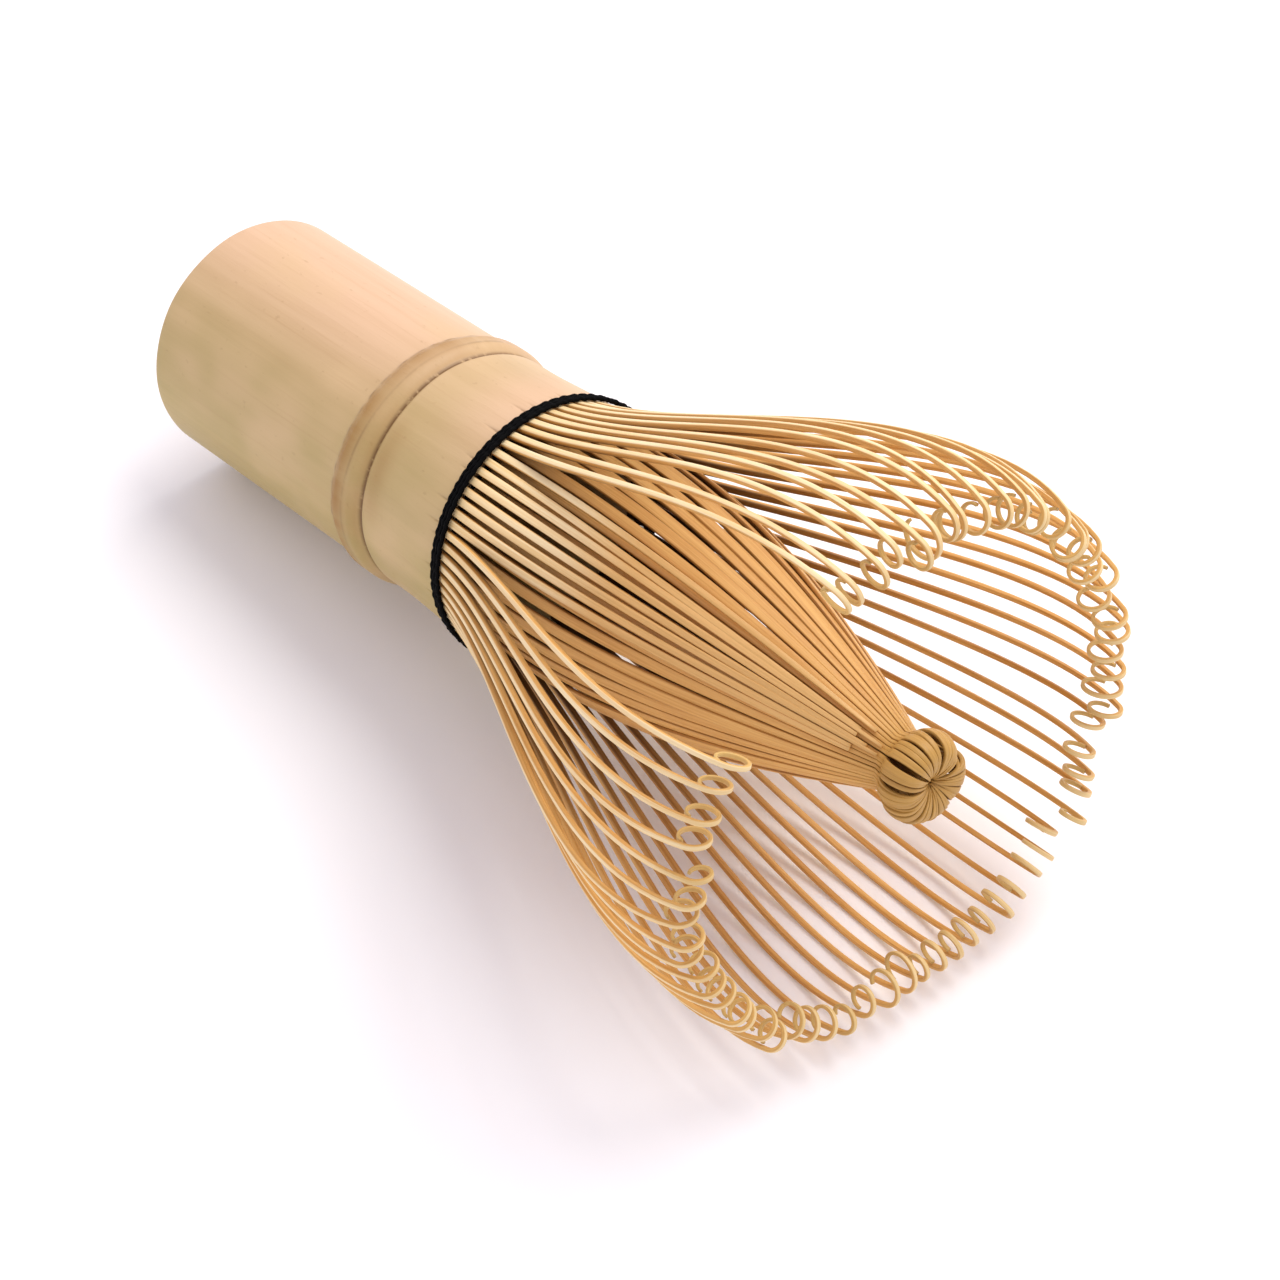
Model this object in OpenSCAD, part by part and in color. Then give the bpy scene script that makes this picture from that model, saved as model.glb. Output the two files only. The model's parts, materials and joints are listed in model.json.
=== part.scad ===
// Bamboo tea whisk (chasen) lying on its side, mouth towards +X.
// One end of a short culm is split into two rings of fine tines: an outer ring that
// flares and curls in at its tips, and an inner ring gathered into a knob. At a parting,
// some outer tines lie in against the inner ring. One thread is laced round the roots and
// keeps the two rings apart.
//
// Whisk frame: X runs along the whisk from the cut end of the handle, and an angle
// round the whisk counts from straight up (+Z) towards +Y.

/* [Handle] */
// Outer diameter of the culm at its cut end
handle_d = 27; // [22:0.5:32]
// Thickness of the culm's wall
wall = 3.4; // [2.5:0.1:4.5]
// Distance from the cut end to the middle of the node ridge
node_x = 34; // [28:0.5:40]
// Height of the node ridge above the culm
ridge_h = 0.6; // [0.3:0.1:1]
// Length of the node ridge along the culm
ridge_len = 4.2; // [3:0.1:6]
// Width of the groove on the mouth side of the ridge
groove = 0.5; // [0.3:0.1:1]
// Thickness of the wall that closes the culm at the node
septum = 2.2; // [1.5:0.1:3]
// Chamfer of the cut end's edges
rim = 0.4; // [0.2:0.1:0.8]

/* [Neck] */
// Distance from the cut end to the end of the solid neck
neck_x = 50; // [46:0.5:54]
// Outer diameter of the neck where the tines leave it
neck_d = 27.8; // [25:0.1:29]
// Inner diameter of the neck where the tines leave it
neck_bore_d = 23.2; // [21:0.1:24]

/* [Outer tines] */
// Number of places for tines in the outer ring
ring_count = 72; // [72:1:72]
// Width of an outer tine round the whisk
outer_w = 0.65; // [0.5:0.05:0.65]
// Thickness of an outer tine at its root
outer_root_t = 0.9; // [0.6:0.05:1]
// Thickness of an outer tine at its curled tip
outer_tip_t = 0.4; // [0.3:0.05:0.6]
// Distance from the cut end to the start of the curls
mouth_x = 104.8; // [98:0.2:112]
// Radius of the ring of tines at the start of the curls
mouth_r = 27.2; // [24:0.2:30]
// Radius of a curl where it starts
curl_r = 1.85; // [1.4:0.05:2.4]
// Share of its radius that a curl has left at its end
curl_close = 0.68; // [0.5:0.02:0.9]
// Angle that a curl turns through
curl_turn = 305; // [200:5:320]

/* [Parting] */
// Angle round the whisk of the middle of the parting
parting_at = -40; // [-40:5:-40]
// Number of outer tines that lie tucked in against the inner ring at the parting
tucked_count = 8; // [8:1:8]
// Sideways lean of the tine beside the parting, towards it
parting_lean = 4; // [0:0.1:4]
// Angle round the whisk over which the lean dies away
parting_reach = 25; // [20:1:40]
// Angle round the whisk where the outer tines spread furthest
spread_at = 229; // [0:1:360]
// Extra outward set of the tines there
spread = 1.8; // [0:0.1:3]

/* [Resting] */
// Slope of the whisk's axis as it lies, which presses the lowest tines level
tilt = 8.3; // [8:0.02:9.2]

/* [Inner tines] */
// Number of tines in the inner ring
inner_count = 48; // [48:1:48]
// Width of an inner tine round the whisk
inner_w = 0.3; // [0.2:0.02:0.3]
// Thickness of an inner tine
inner_t = 0.5; // [0.3:0.05:0.6]
// Radius of the gathered tines just behind the knob
gather_r = 2.95; // [2.8:0.05:3.5]
// Distance from the cut end to the middle of the knob
knob_x = 105.6; // [100:0.2:110]
// Radius of the knob that the inner tips make
knob_r = 4.7; // [4:0.1:5.5]
// Number of groups that the inner tines flex in
inner_groups = 6; // [6:1:6]

/* [Thread] */
// Diameter of the lacing thread
thread_d = 0.42; // [0.3:0.02:0.42]
// Number of turns that show outside the tines
thread_turns = 3; // [1:1:3]
// Gap between the thread and the tines that move beside it
thread_gap = 0.15; // [0.12:0.01:0.2]

/* [Hidden] */
handle_r = handle_d / 2;
neck_r = neck_d / 2;
outer_count = ring_count - tucked_count;
outer_pitch = 360 / ring_count;
tucked_half = tucked_count * outer_pitch / 2;
inner_pitch = 360 / inner_count;
tines_per_group = inner_count / inner_groups;
pair_count = outer_count / 2;

// the tines start just clear of the neck, and flex about a line under the thread
root_x = neck_x + 0.15;
flex_x = neck_x + 1;
outer_root_r = neck_r - outer_root_t / 2;
inner_root_r = neck_bore_d / 2 + inner_t / 2 + 0.05;

// control points, as [x, radius], of the curves that the two rings follow
outer_curve = [
    [root_x, outer_root_r], [root_x + 0.3 * (mouth_x - root_x), outer_root_r + 3],
    [root_x + 0.73 * (mouth_x - root_x), mouth_r + 5.5], [mouth_x, mouth_r]
];
gather_x = knob_x - 3.1;
inner_curve = [
    [root_x, inner_root_r], [root_x + 0.38 * (gather_x - root_x), inner_root_r + 3],
    [root_x + 0.69 * (gather_x - root_x), 3 * gather_r], [gather_x, gather_r]
];
tucked_curve = [
    [root_x, outer_root_r], [inner_curve[1][0], outer_root_r + 2.8],
    [inner_curve[2][0], inner_curve[2][1] + 1.2], [gather_x, gather_r + 1.1]
];
curve_steps = 14;
curl_steps = 16;
knob_steps = 9;

function bezier(p, u) =
    pow(1 - u, 3) * p[0] + 3 * u * pow(1 - u, 2) * p[1]
    + 3 * u * u * (1 - u) * p[2] + pow(u, 3) * p[3];
function heading(d) = atan2(d[1], d[0]);
function bezier_points(p, steps) = [for (i = [0:steps]) bezier(p, i / steps)];

// the curl is a spiral that turns in towards the whisk's axis from the curve's end
curl_start = heading(outer_curve[3] - outer_curve[2]);
function curl_radius(u) = curl_r * (1 - (1 - curl_close) * u);
function spiral(u) = curl_radius(u) * [
    sin(curl_turn * u - curl_start),
    cos(curl_turn * u - curl_start)
];
curl_points = [
    for (i = [1:curl_steps]) outer_curve[3] + spiral(i / curl_steps) - spiral(0)
];
outer_line = concat(bezier_points(outer_curve, curve_steps), curl_points);
tucked_line = [for (i = [0:curve_steps - 1]) bezier(tucked_curve, i / curve_steps)];

// the inner tips bow out round the knob and stop before they would meet
knob_bow = knob_r - gather_r;
knob_end_angle = -8;
knob_points = [
    for (i = [0:knob_steps])
        let (a = 168 + (knob_end_angle - 168) * i / knob_steps)
            [knob_x + 1.15 * knob_bow * cos(a), gather_r + (knob_bow - inner_t / 2) * sin(a)]
];
inner_line = concat(bezier_points(inner_curve, curve_steps), knob_points);

// outline of a strip of changing thickness along a line
function along(line, i) = line[min(i + 1, len(line) - 1)] - line[max(i - 1, 0)];
function beside(line, i, off) =
    let (d = along(line, i)) line[i] + off * [-d[1], d[0]] / norm(d);
function thickness(i, n, t0, t1) = t0 + (t1 - t0) * pow(i / n, 0.7);
function strip(line, t0, t1) =
    let (n = len(line) - 1)
        concat(
            [for (i = [0:n]) beside(line, i, thickness(i, n, t0, t1) / 2)],
            [for (i = [n:-1:0]) beside(line, i, -thickness(i, n, t0, t1) / 2)]
        );

// How each outer tine stands: its angle, sideways lean and outward set. The tines are
// counted from the parting, all the way round to its other side.
function tine_angle(i) = parting_at + tucked_half + outer_pitch * (i - 0.5);
function lean(i) = parting_lean * exp((tine_angle(i) - tine_angle(outer_count)) / parting_reach);

// The whisk lies on the edge of its cut end and on its lowest tines, which the surface
// keeps from spreading further: each swings out about its root until it touches.
lift = handle_r * cos(tilt) - rim * sin(tilt);
outer_outline = strip(outer_line, outer_root_t, outer_tip_t);
rise = tan(tilt);
function touching_set(p, i) =
    let (
        down = -cos(tine_angle(i)), slope = rise / down,
        aside = (mouth_x - flex_x) * sin(lean(i)),
        across = outer_w / 2 * abs(sin(tine_angle(i))) + aside * sin(tine_angle(i)),
        room = ((lift / cos(tilt) - across) / down + slope * flex_x) - outer_root_r,
        d = p - [flex_x, outer_root_r]
    )
        asin(room / (norm(d) * sqrt(1 + slope * slope))) + atan(slope) - heading(d);
function free_set(i) = spread * pow(max(0, cos(tine_angle(i) - spread_at)), 2);
function outward_set(i) =
    cos(tine_angle(i)) > -0.8 ? free_set(i)
    : min(free_set(i), min([for (p = outer_outline) if (p[0] > neck_x + 20) touching_set(p, i)]));

// row of the tine's furthest point, which sets the length that is centred on the origin
function swung_x(p, a) = flex_x + cos(a) * (p[0] - flex_x) - sin(a) * (p[1] - outer_root_r);
function swung_r(p, a) = outer_root_r + sin(a) * (p[0] - flex_x) + cos(a) * (p[1] - outer_root_r);
function reach(i) =
    let (a = outward_set(i))
        max([
            for (p = outer_outline)
                swung_x(p, a) * cos(tilt) - swung_r(p, a) * cos(tine_angle(i)) * sin(tilt)
        ]);
front_x = max([for (i = [1:outer_count]) reach(i)]);
back_x = -(handle_r - rim) * sin(tilt);
centre_x = (back_x + front_x) / 2;
centre_y = -0.47;

function two_digits(i) = str(i < 10 ? "0" : "", i);
function outer_name(p) = str("outer_tines_", two_digits(p));
function inner_name(g) = str("inner_tines_", g);
$fn = 96;

module lay_down() {
    translate([-centre_x, -centre_y, lift])
        rotate([0, -tilt, 0])
            children();
}

// turns a shape that stands straight up from the axis to an angle round the whisk
module round_whisk(angle) {
    rotate([-angle, 0, 0])
        children();
}

// an outline given as [x, radius], made into a solid of revolution about the whisk's axis
module turned(outline) {
    rotate([0, 90, 0])
        rotate_extrude()
            polygon([for (p = outline) [p[1], p[0]]]);
}

module culm_handle() {
    half = ridge_len / 2;
    bore_r = handle_r - wall;
    groove_x = node_x + half + 0.8;
    ridge_r = handle_r + ridge_h;
    septum_back = node_x - septum / 2;
    septum_front = node_x + septum / 2;
    color("burlywood")
        lay_down()
            turned([
                [0, bore_r + rim], [0, handle_r - rim], [rim, handle_r],
                [node_x - half, handle_r], [node_x - half / 2, ridge_r],
                [node_x + half / 2, ridge_r], [groove_x - groove / 2, handle_r + 0.1],
                [groove_x, handle_r - groove / 2], [groove_x + groove, handle_r],
                [neck_x - 6, handle_r - 0.1], [neck_x, neck_r],
                [neck_x, neck_bore_d / 2], [neck_x - 5, bore_r],
                [septum_front, bore_r], [septum_front, 0],
                [septum_back, 0], [septum_back, bore_r], [rim, bore_r]
            ]);
}

// a flat strip cut to an outline of [x, radius], standing up from the whisk's axis
module upright_strip(outline, width) {
    rotate([90, 0, 0])
        linear_extrude(height = width, center = true)
            polygon(outline);
}

// outer tines stand in pairs of neighbours that flex together
module outer_tines(p) {
    color("wheat")
        lay_down()
            for (i = [2 * p - 1, 2 * p])
                round_whisk(tine_angle(i))
                    translate([flex_x, 0, outer_root_r])
                        rotate([0, -outward_set(i), lean(i)])
                            translate([-flex_x, 0, -outer_root_r])
                                upright_strip(outer_outline, outer_w);
}

// group g holds the inner tines of its share of the ring
module inner_tines(g) {
    color("goldenrod")
        lay_down()
            for (k = [0:tines_per_group - 1])
                round_whisk(inner_pitch * ((g - 1) * tines_per_group + k + 1))
                    upright_strip(strip(inner_line, inner_t, inner_t), inner_w);
}

module tucked_tines() {
    color("wheat")
        lay_down()
            for (k = [1:tucked_count])
                round_whisk(parting_at - tucked_half + outer_pitch * (k - 0.5))
                    upright_strip(strip(tucked_line, outer_root_t, outer_tip_t), inner_w);
}

// The thread runs one turn between the two rings, crosses out between two tines opposite
// the parting, and then winds round the outside, dipping between the tines. Points are
// [angle, radius, x].
function slope(line) = (line[1][1] - line[0][1]) / (line[1][0] - line[0][0]);
function under_outer(x) = outer_root_r - outer_root_t / 2 + slope(outer_line) * (x - root_x);
function over_outer(x) = under_outer(x) + outer_root_t;
function over_inner(x) = inner_root_r + inner_t / 2 + slope(inner_line) * (x - root_x);
function over_r(x) = over_outer(x) + thread_gap + thread_d / 2;
hidden_r = (under_outer(flex_x) + over_inner(flex_x)) / 2;
turn_pitch = thread_d * 1.05;
band_x = neck_x + thread_d / 2 + 0.05;
dip = 0.12;
cross_steps = 8;
gap_angle = parting_at + 180;
hidden_path = [
    for (i = [1:ring_count]) [gap_angle + outer_pitch * (i - 0.5), hidden_r, flex_x]
];
cross_path = [
    for (i = [1:cross_steps])
        let (u = i / cross_steps, s = u * u * (3 - 2 * u))
            [
                gap_angle + outer_pitch * pow(2 * u - 1, 3) / 2,
                hidden_r + (over_r(band_x) - hidden_r) * s, flex_x + (band_x - flex_x) * s
            ]
];
outside_path = [
    for (i = [1:ring_count * thread_turns], part = [[0, -dip], [0.5, 0]])
        let (x = band_x + turn_pitch * (i + part[0]) / ring_count)
            [gap_angle + outer_pitch * (i + part[0]), over_r(x) + part[1], x]
];
function thread_point(p) = [p[2], p[1] * sin(p[0]), p[1] * cos(p[0])];
thread_line = [for (p = concat(hidden_path, cross_path, outside_path)) thread_point(p)];

// a round tube swept along a line that stays close to planes across the whisk's axis
module tube(line, d, sides) {
    n = len(line);
    rings = [
        for (i = [0:n - 1])
            let (
                way = line[min(i + 1, n - 1)] - line[max(i - 1, 0)],
                out = cross([1, 0, 0], way),
                across = cross(way, out)
            )
                for (k = [0:sides - 1])
                    line[i] + d / 2 * (
                        cos(360 * k / sides) * out / norm(out)
                        + sin(360 * k / sides) * across / norm(across)
                    )
    ];
    faces = concat(
        [[for (k = [0:sides - 1]) k]],
        [
            for (i = [0:n - 2], k = [0:sides - 1])
                let (a = i * sides + k, b = i * sides + (k + 1) % sides)
                    [a, a + sides, b + sides, b]
        ],
        [[for (k = [sides - 1:-1:0]) (n - 1) * sides + k]]
    );
    polyhedron(rings, faces);
}

module lacing_thread() {
    color("black")
        lay_down()
            tube(thread_line, thread_d, 5);
}

culm_handle();
lacing_thread();
for (g = [1:inner_groups])
    inner_tines(g);
tucked_tines();
for (p = [1:pair_count])
    outer_tines(p);
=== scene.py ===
import json
import math

import bmesh
import bpy
import numpy as np
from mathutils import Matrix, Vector


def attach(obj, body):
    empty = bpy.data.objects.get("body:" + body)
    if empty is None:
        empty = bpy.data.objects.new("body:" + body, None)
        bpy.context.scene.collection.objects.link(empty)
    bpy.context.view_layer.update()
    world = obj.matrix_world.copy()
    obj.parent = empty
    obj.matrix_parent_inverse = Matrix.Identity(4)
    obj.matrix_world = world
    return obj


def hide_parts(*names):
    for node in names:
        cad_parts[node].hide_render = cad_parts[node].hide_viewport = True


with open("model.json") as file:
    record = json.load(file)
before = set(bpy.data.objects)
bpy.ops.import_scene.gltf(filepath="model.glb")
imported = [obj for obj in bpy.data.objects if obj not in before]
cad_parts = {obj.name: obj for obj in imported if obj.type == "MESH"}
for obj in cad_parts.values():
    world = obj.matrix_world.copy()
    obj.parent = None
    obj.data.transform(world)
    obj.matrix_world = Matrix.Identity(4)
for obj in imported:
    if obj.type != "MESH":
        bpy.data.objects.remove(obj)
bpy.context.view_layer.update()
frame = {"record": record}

# A bamboo tea whisk lying on its side. Lengths are in metres. In the whisk's own frame, x
# runs along its axis from the handle's cut end, and an angle round it counts from up
# towards +Y. The sizes in this section are the CAD part's, but for the thread's: it is drawn
# a little thicker, so that its turns close up.
MM = 0.001
DEG = math.pi / 180
RING_TINES = 72
OUTER_PITCH = 2 * math.pi / RING_TINES
TUCKED_TINES = 8
OUTER_TINES = RING_TINES - TUCKED_TINES
OUTER_PAIRS = OUTER_TINES // 2
INNER_TINES = 48
INNER_PITCH = 2 * math.pi / INNER_TINES
INNER_GROUPS = 6

HANDLE_R = 13.5 * MM
WALL = 3.4 * MM
RIM = 0.4 * MM
MOUNT_R = 11.8 * MM
NODE_X = 34 * MM
RIDGE_H = 0.6 * MM
RIDGE_HALF = 2.1 * MM
SEPTUM = 2.2 * MM
NECK_X = 50 * MM
NECK_R = 13.9 * MM
NECK_BORE_R = 11.6 * MM

ROOT_X = 50.15 * MM
FLEX_X = 51 * MM
OUTER_ROOT_R = 13.45 * MM
OUTER_ROOT_T = 0.9 * MM
MOUTH_X = 104.8 * MM
MOUTH_R = 27.2 * MM
CURL_R = 1.85 * MM
PARTING = -40 * DEG
PARTING_LEAN = 4 * DEG
PARTING_REACH = 25 * DEG
SPREAD_AT = 229 * DEG
SPREAD = 1.8 * DEG

INNER_ROOT_R = 11.9 * MM
GATHER_X = 102.5 * MM
GATHER_R = 2.95 * MM
KNOB_X = 105.6 * MM
KNOB_BOW = 1.5 * MM

THREAD_D = 0.5 * MM
THREAD_TURNS = 3
THREAD_DIP = 0.1 * MM
HIDDEN_TURN_R = 12.72 * MM
FLARE_SLOPE = 3 / 16.4


def unit(vectors):
    return vectors / np.linalg.norm(vectors, axis=-1, keepdims=True)


def ramp(value, low, high):
    """0 below low, 1 above high, and smooth between them."""
    share = np.clip((value - low) / (high - low), 0, 1)
    return share * share * (3 - 2 * share)


def bell(value, width):
    return np.exp(-((value / width) ** 2))


def ripple(angle, seed, waves, count=5):
    """A smooth random function of an angle, from about -1 to 1, with up to that many waves."""
    draw = np.random.default_rng(seed)
    turns = draw.integers(1, waves + 1, count)
    phases = draw.uniform(0, 2 * math.pi, count)
    return sum(np.cos(n * angle + p) for n, p in zip(turns, phases)) / math.sqrt(count)


def bezier(points, steps):
    share = np.linspace(0, 1, steps + 1)[:, None]
    a, b, c, d = (np.array(p, float) for p in points)
    rest = 1 - share
    return rest**3 * a + 3 * share * rest**2 * b + 3 * share**2 * rest * c + share**3 * d


# ---- the whisk's own frame, read from its mount

def whisk_frame():
    """The axis point at the cut end, and the directions along, sideways and up. The mount
    lies straight below the axis on the cut end."""
    mount = frame["record"]["mounts"][0]
    along = -np.array(mount["axis"], float)
    side = np.array([0.0, 1.0, 0.0])
    up = np.cross(along, side)
    return np.array(mount["pos_m"]) + MOUNT_R * up, along, side, up


START, ALONG, SIDE, UP = whisk_frame()


def place(x, out, angle):
    """Points at x along the axis, out from it, at an angle round it."""
    x, out, angle = np.broadcast_arrays(x, out, angle)
    radial = np.cos(angle)[..., None] * UP + np.sin(angle)[..., None] * SIDE
    return START + x[..., None] * ALONG + out[..., None] * radial


# ---- meshes

def rounded_section(corner=0.4, steps=2):
    """A rounded square from -1 to 1, as (across, out) points."""
    points = []
    for quarter in range(4):
        middle = (quarter + 0.5) * math.pi / 2
        centre = (1 - corner) * math.sqrt(2) * np.array([math.cos(middle), math.sin(middle)])
        for k in range(steps + 1):
            turn = (quarter + k / steps) * math.pi / 2
            points.append(centre + corner * np.array([math.cos(turn), math.sin(turn)]))
    return np.array(points)


SECTION = rounded_section()


def loft(rings):
    """The points and faces of a closed skin over rings of points, with a cap at each end."""
    count, size = rings.shape[:2]
    faces = [
        (i * size + k, i * size + (k + 1) % size, (i + 1) * size + (k + 1) % size, (i + 1) * size + k)
        for i in range(count - 1)
        for k in range(size)
    ]
    faces.append(tuple(reversed(range(size))))
    faces.append(tuple((count - 1) * size + k for k in range(size)))
    return rings.reshape(-1, 3), faces


def strip(line, across, width, depth, twist, seed):
    """A bamboo strip along a line. grain holds the distance along it, the place across it
    and its seed. skin runs from 0 on the side towards the whisk's axis to 1 on the side away
    from it, and reach runs from 0 at the root to 1 at the tip."""
    ahead = unit(np.gradient(line, axis=0))
    out = unit(np.cross(ahead, across))
    across = np.cross(out, ahead)
    cos, sin = np.cos(twist)[:, None], np.sin(twist)[:, None]
    across, out = cos * across + sin * out, cos * out - sin * across
    rings = (
        line[:, None]
        + SECTION[None, :, :1] * across[:, None] * (width / 2)[:, None, None]
        + SECTION[None, :, 1:] * out[:, None] * (depth / 2)[:, None, None]
    )
    points, faces = loft(rings)
    steps = np.linalg.norm(np.diff(line, axis=0), axis=1)
    distance = np.concatenate([[0], np.cumsum(steps)])
    size = len(SECTION)
    over_top = SECTION[None, :, 0] * (width / 2)[:, None]
    down_sides = 2 * SECTION[None, :, 1] * (depth / 2)[:, None]
    place_across = over_top + down_sides
    grain = np.stack(
        [np.repeat(distance, size), place_across.ravel(), np.full(len(points), seed * 0.1)], axis=1
    )
    skin = np.tile(0.5 + 0.5 * SECTION[:, 1], len(line))
    reach = np.repeat(distance / distance[-1], size)
    return {"points": points, "faces": faces, "grain": grain, "skin": skin, "reach": reach}


def joined(parts):
    """Several skins as one, with their attributes."""
    whole = {key: np.concatenate([p[key] for p in parts]) for key in parts[0] if key != "faces"}
    whole["faces"] = []
    first = 0
    for part in parts:
        whole["faces"] += [tuple(first + v for v in face) for face in part["faces"]]
        first += len(part["points"])
    return whole


def piece(name, skin, material, body, slot, *nodes):
    """A Blender object from a skin, riding on a body in place of its CAD nodes."""
    mesh = bpy.data.meshes.new(name)
    mesh.from_pydata(skin["points"].tolist(), [], skin["faces"])
    for key, values in skin.items():
        if key == "grain":
            mesh.attributes.new(key, "FLOAT_VECTOR", "POINT").data.foreach_set("vector", values.ravel())
        elif key not in ("points", "faces"):
            mesh.attributes.new(key, "FLOAT", "POINT").data.foreach_set("value", values)
    edit = bmesh.new()
    edit.from_mesh(mesh)
    bmesh.ops.recalc_face_normals(edit, faces=edit.faces)
    edit.to_mesh(mesh)
    edit.free()
    mesh.shade_smooth()
    mesh.materials.append(material)
    made = bpy.data.objects.new(name, mesh)
    bpy.context.scene.collection.objects.link(made)
    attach(made, body)
    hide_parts(*nodes)
    return made


# ---- materials

def srgb(red, green, blue):
    """A colour given as a screen shows it, from 0 to 255, as Blender's linear one."""
    values = [v / 255 for v in (red, green, blue)]
    return tuple(v / 12.92 if v < 0.04045 else ((v + 0.055) / 1.055) ** 2.4 for v in values) + (1,)


class Shader:
    """A material's node tree, with short calls for the nodes used here."""

    def __init__(self, name):
        self.material = bpy.data.materials.new(name)
        self.material.use_nodes = True
        self.tree = self.material.node_tree
        self.surface = self.tree.nodes["Principled BSDF"]

    def put(self, socket, value):
        if isinstance(value, bpy.types.NodeSocket):
            self.tree.links.new(value, socket)
        else:
            socket.default_value = value

    def node(self, kind, settings=None, **inputs):
        made = self.tree.nodes.new("ShaderNode" + kind)
        for key, value in (settings or {}).items():
            setattr(made, key, value)
        for key, value in inputs.items():
            self.put(made.inputs[key], value)
        return made

    def attribute(self, name, output="Fac"):
        return self.node("Attribute", {"attribute_name": name}).outputs[output]

    def math(self, operation, a, b=0.0):
        made = self.node("Math", {"operation": operation})
        self.put(made.inputs[0], a)
        self.put(made.inputs[1], b)
        return made.outputs[0]

    def scaled(self, vector, scale):
        made = self.node("VectorMath", {"operation": "MULTIPLY"})
        self.put(made.inputs[0], vector)
        made.inputs[1].default_value = scale
        return made.outputs[0]

    def noise(self, vector, scale=1.0, detail=3.0, rough=0.5):
        made = self.node("TexNoise", Vector=vector, Scale=scale, Detail=detail, Roughness=rough)
        return made.outputs["Fac"]

    def between(self, value, low, high):
        """0 to 1 as value goes from low to high."""
        made = self.node("MapRange", {"interpolation_type": "SMOOTHSTEP"}, Value=value)
        made.inputs["From Min"].default_value = low
        made.inputs["From Max"].default_value = high
        return made.outputs["Result"]

    def mix(self, share, a, b):
        made = self.node("Mix", {"data_type": "RGBA"})
        self.put(made.inputs[0], share)
        self.put(made.inputs[6], a)
        self.put(made.inputs[7], b)
        return made.outputs[2]

    def bump(self, height, strength, distance):
        made = self.node("Bump", Height=height, Strength=strength, Distance=distance)
        self.put(self.surface.inputs["Normal"], made.outputs["Normal"])

    def set(self, **inputs):
        for key, value in inputs.items():
            self.put(self.surface.inputs[key.replace("_", " ")], value)


def tine_material(name, skin_pale, skin_deep, side_pale, side_deep, tip, tip_from, painted_root_shade):
    """Split bamboo: fibres along the strip, a paler skin, painted shade on the sides towards the
    whisk's axis near the root, painted shade at the roots, and a tip of another colour."""
    shader = Shader(name)
    grain = shader.attribute("grain", "Vector")
    fibres = shader.noise(shader.scaled(grain, (90, 5200, 37)), 1.0, 4.0, 0.6)
    patches = shader.noise(shader.scaled(grain, (45, 300, 211)), 1.0, 2.0)
    tone = shader.math("ADD", shader.math("MULTIPLY", fibres, 0.55), shader.math("MULTIPLY", patches, 0.45))
    share = shader.between(tone, 0.34, 0.66)
    height = shader.attribute("skin")
    reach = shader.attribute("reach")
    # Painted shade: over the root half, the sides towards the whisk's axis darken to a near black-brown,
    # standing for the shade between the tines and in the bundle.
    painted_gap_shade = shader.math("MULTIPLY", shader.between(height, 0.7, 0.15), shader.between(reach, 0.55, 0.1))
    side = shader.mix(share, side_deep, side_pale)
    side = shader.mix(shader.math("MULTIPLY", painted_gap_shade, 0.85), side, srgb(60, 32, 10))
    body = shader.mix(shader.between(height, 0.8, 0.97), side, shader.mix(share, skin_deep, skin_pale))
    # Painted shade: the first sixth of the tine darkens to deep brown, by the share the last argument
    # gives, standing for the dark interior of the bundle.
    root = shader.math("MULTIPLY", shader.between(reach, 0.16, 0.0), painted_root_shade)
    body = shader.mix(root, body, srgb(74, 42, 14))
    bent = shader.math("MULTIPLY", shader.between(reach, tip_from, min(tip_from + 0.2, 1.0)), 0.85)
    shade = tuple(0.8 * v for v in tip[:3]) + (1,)
    rough = shader.node("MapRange", Value=fibres)
    rough.inputs["To Min"].default_value = 0.34
    rough.inputs["To Max"].default_value = 0.6
    shader.set(Base_Color=shader.mix(bent, body, shader.mix(share, shade, tip)), Roughness=rough.outputs[0])
    shader.surface.inputs["Specular IOR Level"].default_value = 0.45
    shader.bump(fibres, 0.35, 0.00012)
    return shader.material


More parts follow.
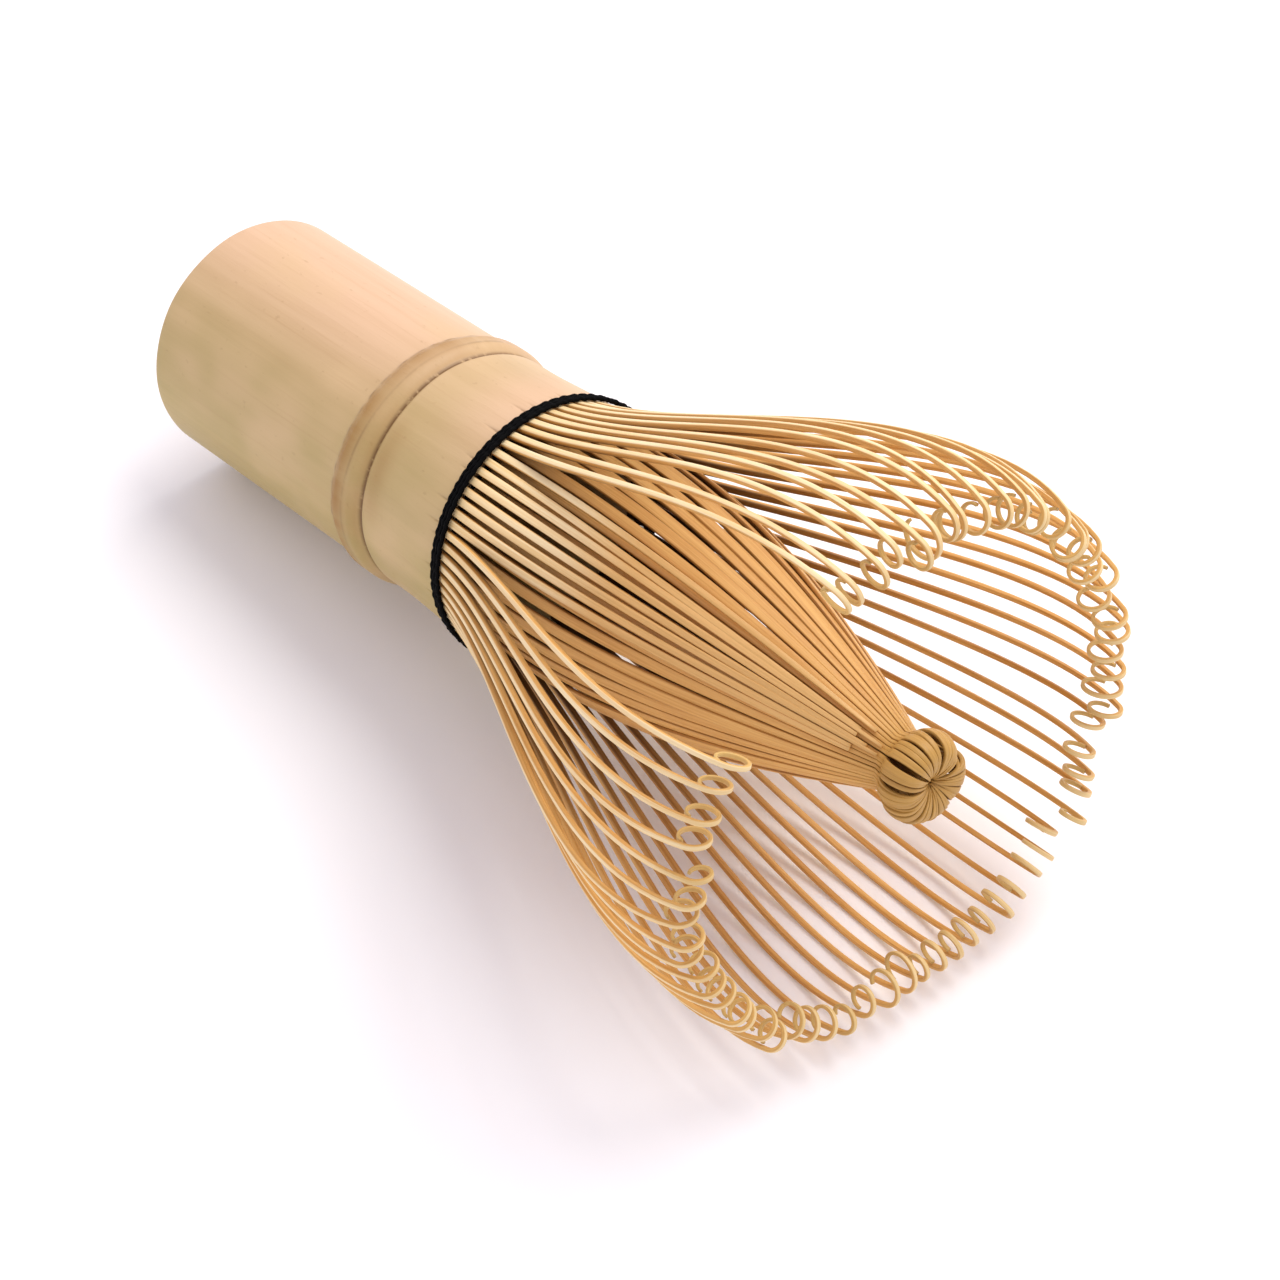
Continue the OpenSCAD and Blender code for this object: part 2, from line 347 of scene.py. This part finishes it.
def culm_material():
    """The culm's dry skin with fine fibres, a pink painted sheen on its upper side towards the light, a
    brown node deepened by painted shade away from the light, dark scar lines and a cut end dotted with
    vessels."""
    shader = Shader("culm_bamboo")
    grain = shader.attribute("grain", "Vector")
    fibres = shader.noise(shader.scaled(grain, (55, 2600, 2600)), 1.0, 4.0, 0.62)
    streaks = shader.noise(shader.scaled(grain, (14, 420, 420)), 1.0, 3.0)
    clouds = shader.noise(shader.scaled(grain, (60, 90, 90)), 1.0, 2.0)
    yellow = shader.mix(shader.between(streaks, 0.3, 0.7), srgb(180, 158, 96), srgb(193, 169, 110))
    # Painted sheen: a pinker skin on the upper side, which faces the key light, stands for its soft
    # highlight.
    pink = shader.mix(shader.between(streaks, 0.3, 0.7), srgb(216, 178, 140), srgb(223, 186, 150))
    skin = shader.mix(shader.attribute("painted_sheen"), yellow, pink)
    skin = shader.mix(shader.between(clouds, 0.42, 0.85), skin, srgb(216, 184, 136))
    skin = shader.mix(
        shader.math("MULTIPLY", shader.between(fibres, 0.52, 0.8), 0.3), skin, srgb(184, 146, 100)
    )
    freckles = shader.noise(shader.scaled(grain, (900, 1500, 1500)), 1.0, 2.0)
    skin = shader.mix(
        shader.math("MULTIPLY", shader.between(freckles, 0.66, 0.78), 0.22), skin, srgb(156, 118, 74)
    )
    # The node's brown: real staining, deepened by painted shade on the side away from the key light.
    stain_and_shade = shader.math("MULTIPLY", shader.attribute("stain_and_shade"), shader.between(streaks, -0.1, 0.7))
    skin = shader.mix(stain_and_shade, skin, srgb(164, 122, 60))
    lines = shader.math("MULTIPLY", shader.attribute("line"), shader.between(freckles, 0.2, 0.5))
    skin = shader.mix(lines, skin, srgb(104, 68, 24))
    cells = shader.node(
        "TexVoronoi", {"feature": "F1"}, Vector=shader.scaled(grain, (0, 1500, 1500)), Scale=1.0
    ).outputs["Distance"]
    cut = shader.mix(shader.between(cells, 0.18, 0.34), srgb(140, 98, 52), srgb(214, 190, 148))
    rough = shader.node("MapRange", Value=streaks)
    rough.inputs["To Min"].default_value = 0.36
    rough.inputs["To Max"].default_value = 0.58
    shader.set(Base_Color=shader.mix(shader.attribute("cut"), skin, cut), Roughness=rough.outputs[0])
    shader.surface.inputs["Specular IOR Level"].default_value = 0.4
    height = shader.math("ADD", fibres, shader.math("MULTIPLY", freckles, 0.5))
    shader.bump(height, 0.25, 0.00012)
    return shader.material


def thread_material():
    """Black cotton, nearly matt, with fine fibres along its plies."""
    shader = Shader("black_cotton")
    grain = shader.attribute("grain", "Vector")
    fibres = shader.noise(shader.scaled(grain, (2500, 9000, 9000)), 1.0, 3.0)
    colour = shader.mix(fibres, srgb(1, 1, 1), srgb(9, 9, 9))
    rough = shader.node("MapRange", Value=fibres)
    rough.inputs["To Min"].default_value = 0.6
    rough.inputs["To Max"].default_value = 0.85
    shader.set(Base_Color=colour, Roughness=rough.outputs[0])
    shader.surface.inputs["Specular IOR Level"].default_value = 0.08
    shader.bump(fibres, 0.5, 0.00005)
    return shader.material


def floor_material():
    shader = Shader("pale_floor")
    grain = shader.noise(shader.node("TexCoord").outputs["Object"], 40.0, 2.0)
    shader.set(Base_Color=shader.mix(grain, (0.95, 0.95, 0.95, 1), (0.97, 0.97, 0.97, 1)), Roughness=0.9)
    shader.surface.inputs["Specular IOR Level"].default_value = 0.1
    return shader.material


# ---- the culm: handle, node and neck

SLIT_OFFSETS = np.array([0, 0.3, 0.8, 1.8, 3.2, 4.2, 4.7]) * DEG
SLIT_WIDTH = 0.4 * DEG
SLIT_DEPTH = 0.2 * MM
GROOVE_AHEAD = 0.8 * MM
GROOVE_WIDTH = 0.26 * MM
GROOVE_DEPTH = 0.24 * MM
SCAR_WIDTH = 0.2 * MM
SCAR_HEIGHT = 0.1 * MM
# Where the pink painted sheen is strongest, as an angle round the axis.
PAINTED_SHEEN_SIDE = 0.6
# Where the node's painted shade is strongest: the side away from the key light.
PAINTED_SHADE_SIDE = 4.6
SMUDGE_SIDE = 5.3


def culm_angles():
    """Columns round the culm, close together at the slits between the outer tines."""
    return np.concatenate([PARTING + i * OUTER_PITCH + SLIT_OFFSETS for i in range(RING_TINES)])


def node_slant(angle):
    """How far the ridge's rear edge and its groove wander along the culm."""
    wander = 0.1 * ripple(angle, 3, 6) * MM
    upper = 0.5 + 0.5 * np.cos(angle - 0.35)
    return wander + 1.7 * MM * upper - 0.2 * MM, wander + 0.7 * MM * upper


def slit_share(x, angle):
    """1 in the slits between the tines, which show a little way down the neck."""
    slit = np.round((angle - PARTING) / OUTER_PITCH).astype(int)
    starts = NECK_X - np.random.default_rng(11).uniform(0.2, 2.2, RING_TINES) ** 1.5 * MM
    away = angle - PARTING - slit * OUTER_PITCH
    return bell(away, SLIT_WIDTH) * ramp(x, starts[slit % RING_TINES], NECK_X + 1 * MM)


def culm_skin_row(x, angle):
    """One ring of the outer skin, as (x, radius, node staining with painted shade, line)."""
    rear_shift, groove_shift = node_slant(angle)
    from_rear = x - NODE_X - rear_shift + RIDGE_HALF
    from_groove = x - NODE_X - groove_shift - RIDGE_HALF - GROOVE_AHEAD
    groove = bell(from_groove, GROOVE_WIDTH)
    scar = bell(from_rear, SCAR_WIDTH) * (0.6 + 0.5 * ripple(angle, 5, 60, 9))
    ridge = ramp(from_rear, -0.3 * MM, 1.1 * MM) * (1 - ramp(from_groove, -1.9 * MM, -0.3 * MM))
    slits = slit_share(x, angle)
    radius = HANDLE_R + (NECK_R - HANDLE_R) * ramp(x, NODE_X + 6 * MM, NECK_X)
    radius = radius + (0.05 * np.cos(2 * angle - 1.0) + 0.03 * ripple(angle, 7, 9)) * MM
    radius = radius + RIDGE_H * ridge * (0.9 + 0.1 * np.cos(angle - 4))
    radius = radius - GROOVE_DEPTH * groove + SCAR_HEIGHT * scar - SLIT_DEPTH * slits
    band = ramp(from_rear, -0.5 * MM, 0.5 * MM) * (1 - ramp(from_groove, -1.0 * MM, 0.3 * MM))
    # The node band's brown is real staining, plus painted shade that grows on the side away from the key
    # light.
    shaded = 0.5 + 0.5 * np.cos(angle - PAINTED_SHADE_SIDE)
    stain_and_shade = band * (0.12 + 0.16 * shaded + 0.1 * ripple(angle, 9, 8))
    stain_and_shade = stain_and_shade + band * bell(from_rear - 1.1 * MM, 1.2 * MM) * (0.22 + 0.5 * shaded)
    stain_and_shade = stain_and_shade + 0.3 * bell(from_rear - 0.5 * MM, 0.5 * MM)
    stain_and_shade = stain_and_shade + 0.3 * bell(from_groove + 0.4 * MM, 0.5 * MM)
    smudge = bell(from_groove - 1.5 * MM, 1.5 * MM) * ramp(np.cos(angle - SMUDGE_SIDE), 0.86, 1)
    faint = 0.35 * bell(from_rear - 2.3 * MM, 0.16 * MM) * (0.6 + 0.4 * ripple(angle, 6, 9))
    line = np.clip(0.9 * groove + 0.4 * np.clip(scar, 0, 1) + faint + 0.5 * slits, 0, 1)
    return x + 0 * angle, radius, np.clip(stain_and_shade + 0.5 * smudge, 0, 1), line


def culm_rows(angle):
    """Every ring of the culm, from the middle of the septum's mouth side, out over the neck
    and handle, and back to the middle of the septum's other side."""
    bore_r = HANDLE_R - WALL
    front = NODE_X + SEPTUM / 2
    back = NODE_X - SEPTUM / 2
    zero = 0 * angle

    def plain(x, radius, stain_and_shade=0.0, line=0.0, cut=0.0):
        return x + zero, radius + zero, stain_and_shade + zero, line + zero, cut + zero

    def outside(x):
        return (*culm_skin_row(x, angle), zero)

    end_r = culm_skin_row(NECK_X, angle)[1]
    rows = [plain(front + 0.5 * MM * (1 - s**2), bore_r * s, 0.3) for s in np.linspace(0.004, 1, 8)]
    rows += [plain(x, bore_r, 0.15) for x in np.linspace(front + 0.4 * MM, NECK_X - 5 * MM, 8)]
    rows += [
        plain(NECK_X - 5 * MM + s * 5 * MM, bore_r + (NECK_BORE_R - bore_r) * s) for s in (0.3, 0.6, 1)
    ]
    rows += [plain(NECK_X, NECK_BORE_R + 0.3 * MM, cut=0.5), plain(NECK_X, end_r - 0.3 * MM, cut=0.5)]
    rows += [outside(x) for x in np.arange(NECK_X, NECK_X - 5 * MM, -0.25 * MM)]
    rows += [outside(x) for x in np.arange(NECK_X - 5 * MM, NODE_X + 5 * MM, -0.8 * MM)]
    rows += [outside(x) for x in np.arange(NODE_X + 5 * MM, NODE_X - 4 * MM, -0.12 * MM)]
    rows += [outside(x) for x in np.arange(NODE_X - 4 * MM, 2 * RIM, -1.1 * MM)]
    edge_r = culm_skin_row(RIM, angle)[1]
    for turn in np.linspace(0, math.pi / 2, 5):
        rows.append(
            plain(RIM * (1 - math.sin(turn)), edge_r - RIM * (1 - math.cos(turn)), cut=0.5 * math.sin(turn))
        )
    rows += [plain(0.02 * MM, r, cut=1) for r in np.linspace(HANDLE_R - 0.6 * MM, bore_r + 0.5 * MM, 7)]
    rows += [plain(0.15 * MM, bore_r + 0.15 * MM, cut=0.6), plain(RIM, bore_r)]
    bore = np.linspace(2 * RIM, back - 1 * MM, 24)
    rows += [plain(x, bore_r + 0.06 * MM * math.sin(900 * x), 0.1) for x in bore]
    rows += [plain(back - 1 * MM * s**2, bore_r * s, 0.45) for s in np.linspace(0.95, 0.004, 9)]
    return rows


def make_culm(material):
    angle = culm_angles()
    rows = culm_rows(angle)
    x, radius, stain_and_shade, line, cut = (np.array(values) for values in zip(*rows))
    points, faces = loft(place(x, radius, angle[None, :]))
    grain = np.stack([x, radius * np.sin(angle), radius * np.cos(angle)], axis=-1).reshape(-1, 3)
    # Painted sheen: most on the side facing the key light, less just past the node.
    painted_sheen = ramp(np.cos(angle - PAINTED_SHEEN_SIDE), -0.2, 1) * (1 - 0.5 * bell(x - NODE_X - 6 * MM, 6 * MM))
    skin = {
        "points": points, "faces": faces, "grain": grain, "stain_and_shade": stain_and_shade.ravel(),
        "line": line.ravel(), "cut": cut.ravel(), "painted_sheen": painted_sheen.ravel(),
    }
    piece("whisk_handle", skin, material, "culm", "bamboo_culm", "culm_handle")


# ---- the outer tines

OUTER_W = 0.78 * MM
OUTER_W_TAPER = 0.38 * MM
OUTER_T_TAPER = 0.6 * MM
CURL_TURN = 345 * DEG
CURL_LOOSEST = 30 * DEG
CURL_CLOSE = 0.74
CURL_SIZE = 0.84 * CURL_R
LOWEST = 0.26 * MM


def tine_plane(number):
    """An outer tine's angle, its hinge, and the directions along, across and out of it. The
    last tines lean a little towards the parting."""
    angle = PARTING + OUTER_PITCH * (number - 0.5 + TUCKED_TINES / 2)
    last = PARTING + OUTER_PITCH * (OUTER_TINES - 0.5 + TUCKED_TINES / 2)
    lean = PARTING_LEAN * math.exp((angle - last) / PARTING_REACH)
    out = math.cos(angle) * UP + math.sin(angle) * SIDE
    tangent = math.cos(angle) * SIDE - math.sin(angle) * UP
    hinge = START + FLEX_X * ALONG + OUTER_ROOT_R * out
    along = math.cos(lean) * ALONG + math.sin(lean) * tangent
    return angle, hinge, along, math.cos(lean) * tangent - math.sin(lean) * ALONG, out


def outer_curve(draw, calm, loose):
    """A tine's line as (x, out) from its hinge: the flare, and a curl that turns in. calm
    shrinks the differences between flares, and loose makes the curl less regular."""
    def vary(spread):
        return calm * draw.normal(0, spread)

    length = MOUTH_X - ROOT_X
    mouth = np.array([MOUTH_X + vary(0.5 * MM), MOUTH_R + vary(0.4 * MM)])
    flare = bezier(
        [
            (ROOT_X - 0.08 * MM, OUTER_ROOT_R),
            (ROOT_X + 0.3 * length, OUTER_ROOT_R + (3 + vary(0.25)) * MM),
            (ROOT_X + 0.73 * length, MOUTH_R + (5.5 + vary(0.4)) * MM),
            mouth,
        ],
        34,
    )
    last = flare[-1] - flare[-2]
    heading = math.atan2(last[1], last[0])
    turn = CURL_TURN - loose * draw.uniform(0, CURL_LOOSEST)
    close = CURL_CLOSE + loose * draw.uniform(-0.08, 0.05)
    size = CURL_SIZE * (1 + loose * draw.uniform(-0.04, 0.14))
    share = np.linspace(0, 1, 41)[:, None]
    curl = size * (1 - (1 - close) * share) * np.concatenate(
        [np.sin(turn * share - heading), np.cos(turn * share - heading)], axis=1
    )
    curl = curl - curl[0]
    curl[:, 0] *= 1.05 + loose * draw.uniform(-0.08, 0.1)
    line = np.concatenate([flare, flare[-1] + curl[1:]])
    return line - [FLEX_X, OUTER_ROOT_R]


def swung(line, plane, sideways, swing):
    _, hinge, along, across, out = plane
    ahead = math.cos(swing) * along + math.sin(swing) * out
    outward = math.cos(swing) * out - math.sin(swing) * along
    return hinge + line[:, :1] * ahead + line[:, 1:] * outward + sideways[:, None] * across


def outer_tine(number):
    """One outer tine. The lowest ones are pressed level by the floor."""
    draw = np.random.default_rng(400 + number)
    plane = tine_plane(number)
    angle, across = plane[0], plane[3]
    calm = 0.25 + 0.75 * ramp(math.cos(angle), -0.95, -0.75)
    irregular = 0.1 + 0.45 * ramp(-math.cos(angle), 0.45, 0.8)
    line = outer_curve(draw, calm, 2.6 if draw.random() < irregular else 0.6)
    reach = np.linspace(0, 1, len(line))
    aside = draw.normal(0, 0.3) * MM * reach**1.5
    sideways = calm * (aside + draw.normal(0, 0.1) * MM * np.sin(math.pi * reach))
    twist = draw.normal(0, 6) * DEG * reach
    width = (OUTER_W - OUTER_W_TAPER * reach**0.5) * draw.uniform(0.94, 1.06)
    depth = OUTER_ROOT_T - OUTER_T_TAPER * reach**0.45
    swing = SPREAD * max(0, math.cos(angle - SPREAD_AT)) ** 2
    points = swung(line, plane, sideways, swing)
    while points[:, 2].min() < LOWEST:
        swing -= 0.02 * DEG
        points = swung(line, plane, sideways, swing)
    return strip(points, across, width, depth, twist, number)


def make_outer_pair(pair, material):
    strips = [outer_tine(2 * pair - 1), outer_tine(2 * pair)]
    piece(
        f"tines_{pair:02d}", joined(strips), material,
        f"outer_{pair:02d}", "bamboo_outer", f"outer_tines_{pair:02d}",
    )


# ---- the outer tines that lie tucked in at the parting

TUCKED_W = 0.8 * MM
TUCKED_W_TAPER = 0.2 * MM
TUCKED_T_TAPER = 0.64 * MM


def tucked_tine(number):
    draw = np.random.default_rng(700 + number)
    angle = PARTING + OUTER_PITCH * (number - 0.5 - TUCKED_TINES / 2)
    length = GATHER_X - ROOT_X
    line = bezier(
        [
            (ROOT_X + 0.05 * MM, OUTER_ROOT_R),
            (ROOT_X + 0.38 * length, OUTER_ROOT_R + 2.6 * MM),
            (ROOT_X + 0.69 * length, 3 * GATHER_R + 0.9 * MM),
            (GATHER_X, GATHER_R + 0.55 * MM),
        ],
        40,
    )[:draw.integers(39, 42)]
    x, out = line[:, 0], line[:, 1]
    reach = np.linspace(0, 1, len(line))
    angles = angle + draw.normal(0, 1.2) * DEG * reach
    width = np.minimum(TUCKED_W - TUCKED_W_TAPER * reach, 0.95 * OUTER_PITCH * out)
    width = width * draw.uniform(0.95, 1.05)
    depth = OUTER_ROOT_T - TUCKED_T_TAPER * reach**0.5
    across = place(0 * x, 1 + 0 * x, angles + math.pi / 2) - START
    twist = draw.normal(0, 6) * DEG * reach
    return strip(place(x, out, angles), across, width, depth, twist, 200 + number)


def make_tucked_tines(material):
    strips = [tucked_tine(k) for k in range(1, TUCKED_TINES + 1)]
    piece("tucked_strips", joined(strips), material, "inner_group_6", "bamboo_outer", "tucked_tines")


# ---- the inner tines

INNER_W = 1.24 * MM
INNER_W_LEAST = 0.17 * MM
INNER_T = 0.46 * MM
INNER_T_TAPER = 0.12 * MM
TUCK_STEPS = 12

# Each crease in the knob: its angle, how far it pushes the tines aside, and its width, in
# degrees.
KNOB_CREASES = [(68, 7, 13), (-72, 3, 7), (-104, 3, 7), (150, 3, 10)]


def inner_curve(draw):
    """An inner tine's line as (x, out): the bundle, the bow of the knob, and the tucked tip."""
    length = GATHER_X - ROOT_X
    bundle = bezier(
        [
            (ROOT_X, INNER_ROOT_R),
            (ROOT_X + 0.38 * length, INNER_ROOT_R + (3 + draw.normal(0, 0.3)) * MM),
            (ROOT_X + 0.69 * length, 3 * GATHER_R + draw.normal(0, 0.35) * MM),
            (GATHER_X, GATHER_R),
        ],
        34,
    )
    bow_r = KNOB_BOW * draw.uniform(0.94, 1.06)
    turn = np.linspace(168, -2, 16) * DEG
    bow = np.stack([KNOB_X + 1.34 * KNOB_BOW * np.cos(turn), GATHER_R + bow_r * np.sin(turn)], axis=1)
    tuck_turn = np.linspace(0, 1, TUCK_STEPS)[1:, None] * draw.uniform(72, 90) * DEG
    start = bow[-1]
    end = np.array([KNOB_X + draw.uniform(0.2, 0.9) * MM, draw.uniform(0.35, 0.7) * MM])
    tuck = end + (start - end) * np.concatenate([np.cos(tuck_turn), 1 - np.sin(tuck_turn)], axis=1)
    return np.concatenate([bundle, bow, tuck])


def knob_crease(angle):
    """How far round the knob a tine is pushed aside by the creases, and how deep it lies."""
    shift, depth = 0.0, 0.0
    for at, push, width in KNOB_CREASES:
        away = (angle / DEG - at + 180) % 360 - 180
        shift += push * math.copysign(1, away) * math.exp(-abs(away) / width)
        depth += 0.035 * push * math.exp(-((away / width) ** 2))
    return shift * DEG, depth


def inner_strip(number):
    draw = np.random.default_rng(900 + number)
    angle = number * INNER_PITCH
    line = inner_curve(draw)
    x, out = line[:, 0], line[:, 1]
    middle = np.sin(math.pi * np.clip((x - ROOT_X) / (GATHER_X - ROOT_X), 0, 1))
    at_knob = ramp(np.arange(len(line)), 30, 44)
    shift, depth = knob_crease(angle)
    out = out * (1 - depth * at_knob)
    angles = angle + draw.normal(0, 0.9) * DEG * middle + shift * at_knob
    angles = angles + draw.normal(0, 2.2) * DEG * at_knob
    points = place(x, out, angles)
    across = place(0 * x, 1 + 0 * x, angles + math.pi / 2) - START
    width = np.minimum(INNER_W, 0.93 * INNER_PITCH * out + 0.02 * MM)
    width = np.maximum(width, INNER_W_LEAST) * draw.uniform(0.94, 1.06)
    thick = INNER_T - INNER_T_TAPER * at_knob
    twist = draw.normal(0, 5) * DEG * middle
    return strip(points, across, width, thick, twist, 60 + number)


def make_inner_group(group, material):
    each = INNER_TINES // INNER_GROUPS
    strips = [inner_strip((group - 1) * each + k + 1) for k in range(each)]
    piece(
        f"inner_bundle_{group}", joined(strips), material,
        f"inner_group_{group}", "bamboo_inner", f"inner_tines_{group}",
    )


# ---- the lacing thread

PLY_PITCH = 1.5 * MM
PLY_SIDES = 12


def thread_path(steps=14):
    """The thread's line: one turn hidden between the rings, a crossing opposite the
    parting, and turns outside that dip between the tines. It follows the CAD thread, with
    that many steps to a tine."""
    half = THREAD_D / 2
    over = OUTER_ROOT_R + OUTER_ROOT_T / 2 + 0.13 * MM + half
    band_x = NECK_X + half + 0.05 * MM
    hidden = np.linspace(0.5, RING_TINES, RING_TINES * steps)
    hidden = np.stack([hidden, 0 * hidden + HIDDEN_TURN_R, 0 * hidden + FLEX_X], axis=1)
    tines = np.linspace(0.3, RING_TINES * THREAD_TURNS, RING_TINES * THREAD_TURNS * steps)
    x = band_x + THREAD_D * tines / RING_TINES
    dip = THREAD_DIP * (0.5 + 0.5 * np.cos(2 * math.pi * tines)) ** 1.3
    outside = np.stack([tines, over + FLARE_SLOPE * (x - ROOT_X) - dip, x], axis=1)
    start = hidden[-1] * [0, 1, 1]
    share = np.linspace(0, 1, steps)[1:-1, None]
    ease = share * share * (3 - 2 * share)
    crossing = start + (outside[0] - start) * np.concatenate([share, ease, ease], axis=1)
    path = np.concatenate([hidden, crossing, outside])
    return place(path[:, 2], path[:, 1], PARTING + math.pi + path[:, 0] * OUTER_PITCH)


def make_thread(material):
    line = thread_path()
    ahead = unit(np.gradient(line, axis=0))
    out = unit(np.cross(ALONG, ahead))
    across = np.cross(ahead, out)
    steps = np.linalg.norm(np.diff(line, axis=0), axis=1)
    distance = np.concatenate([[0], np.cumsum(steps)])
    lay = distance / PLY_PITCH * 2 * math.pi
    around = np.linspace(0, 2 * math.pi, PLY_SIDES, endpoint=False)
    radius = THREAD_D / 2 * (0.93 + 0.08 * np.cos(2 * around))
    turn = around[None] + lay[:, None]
    rings = line[:, None] + radius[None, :, None] * (
        np.cos(turn)[..., None] * out[:, None] + np.sin(turn)[..., None] * across[:, None]
    )
    points, faces = loft(rings)
    grain = np.stack(
        [
            np.repeat(distance, PLY_SIDES),
            np.tile(radius * np.cos(around), len(line)),
            np.tile(radius * np.sin(around), len(line)),
        ],
        axis=1,
    )
    skin = {"points": points, "faces": faces, "grain": grain}
    piece("black_thread", skin, material, "culm", "lacing_thread", "lacing_thread")


# ---- floor, light and camera

FLOOR_HALF = 2.0
LIT_AT = (0, 0, 0.02)
CAMERA_TARGET = (0.0142, -0.0020, 0.0194)
CAMERA_AZIMUTH = -40.64
CAMERA_ELEVATION = 45.77
CAMERA_DISTANCE = 0.3514
CAMERA_LENS_MM = 100.14
CAMERA_SENSOR_MM = 36


def make_floor():
    mesh = bpy.data.meshes.new("floor")
    half = FLOOR_HALF
    corners = [(-half, -half, 0), (half, -half, 0), (half, half, 0), (-half, half, 0)]
    mesh.from_pydata(corners, [], [(0, 1, 2, 3)])
    mesh.materials.append(floor_material())
    floor = bpy.data.objects.new("floor", mesh)
    bpy.context.scene.collection.objects.link(floor)


def aim(thing, at):
    thing.rotation_euler = (Vector(at) - thing.location).to_track_quat("-Z", "Y").to_euler()


def from_target(target, azimuth, elevation, distance):
    """A point at that direction and distance from the target; azimuth counts from +X."""
    a, e = azimuth * DEG, elevation * DEG
    way = Vector((math.cos(e) * math.cos(a), math.cos(e) * math.sin(a), math.sin(e)))
    return Vector(target) + distance * way


def make_light(name, azimuth, elevation, distance, size, power, colour):
    data = bpy.data.lights.new(name, "AREA")
    data.shape = "DISK"
    data.size = size
    data.energy = power
    data.color = colour
    light = bpy.data.objects.new(name, data)
    light.location = from_target(LIT_AT, azimuth, elevation, distance)
    bpy.context.scene.collection.objects.link(light)
    aim(light, LIT_AT)


def make_world():
    world = bpy.data.worlds.new("studio")
    world.use_nodes = True
    back = world.node_tree.nodes["Background"]
    back.inputs["Color"].default_value = (0.965, 0.92, 1.03, 1)
    back.inputs["Strength"].default_value = 0.82
    bpy.context.scene.world = world


def make_camera():
    data = bpy.data.cameras.new("camera")
    data.lens = CAMERA_LENS_MM
    data.sensor_width = CAMERA_SENSOR_MM
    camera = bpy.data.objects.new("camera", data)
    camera.location = from_target(CAMERA_TARGET, CAMERA_AZIMUTH, CAMERA_ELEVATION, CAMERA_DISTANCE)
    bpy.context.scene.collection.objects.link(camera)
    aim(camera, CAMERA_TARGET)
    bpy.context.scene.camera = camera


make_camera()
make_world()
make_floor()
make_light("key", 84, 64, 0.9, 0.55, 4.6, (1.0, 0.96, 0.92))
make_light("low", 104, 40, 1.1, 0.6, 2.2, (1.0, 0.96, 0.93))
bpy.context.scene.view_settings.view_transform = "Standard"

make_culm(culm_material())
PALE = srgb(251, 228, 178)
CREAM = srgb(239, 201, 135)
HONEY = srgb(232, 182, 104)
AMBER = srgb(198, 140, 62)
OUTER_BAMBOO = tine_material("outer_bamboo", PALE, CREAM, HONEY, AMBER, srgb(214, 180, 106), 0.8, 0.0)
TUCKED_BAMBOO = tine_material("tucked_bamboo", PALE, CREAM, HONEY, AMBER, srgb(228, 176, 98), 0.26, 0.0)
# The inner tines' last argument, 0.6, is their share of painted shade at the roots.
INNER_BAMBOO = tine_material(
    "inner_bamboo", srgb(230, 180, 102), srgb(208, 150, 74), srgb(196, 138, 64), srgb(146, 94, 34),
    srgb(192, 148, 70), 0.74, 0.6,
)
for number in range(1, OUTER_PAIRS + 1):
    make_outer_pair(number, OUTER_BAMBOO)
make_tucked_tines(TUCKED_BAMBOO)
for number in range(1, INNER_GROUPS + 1):
    make_inner_group(number, INNER_BAMBOO)
make_thread(thread_material())
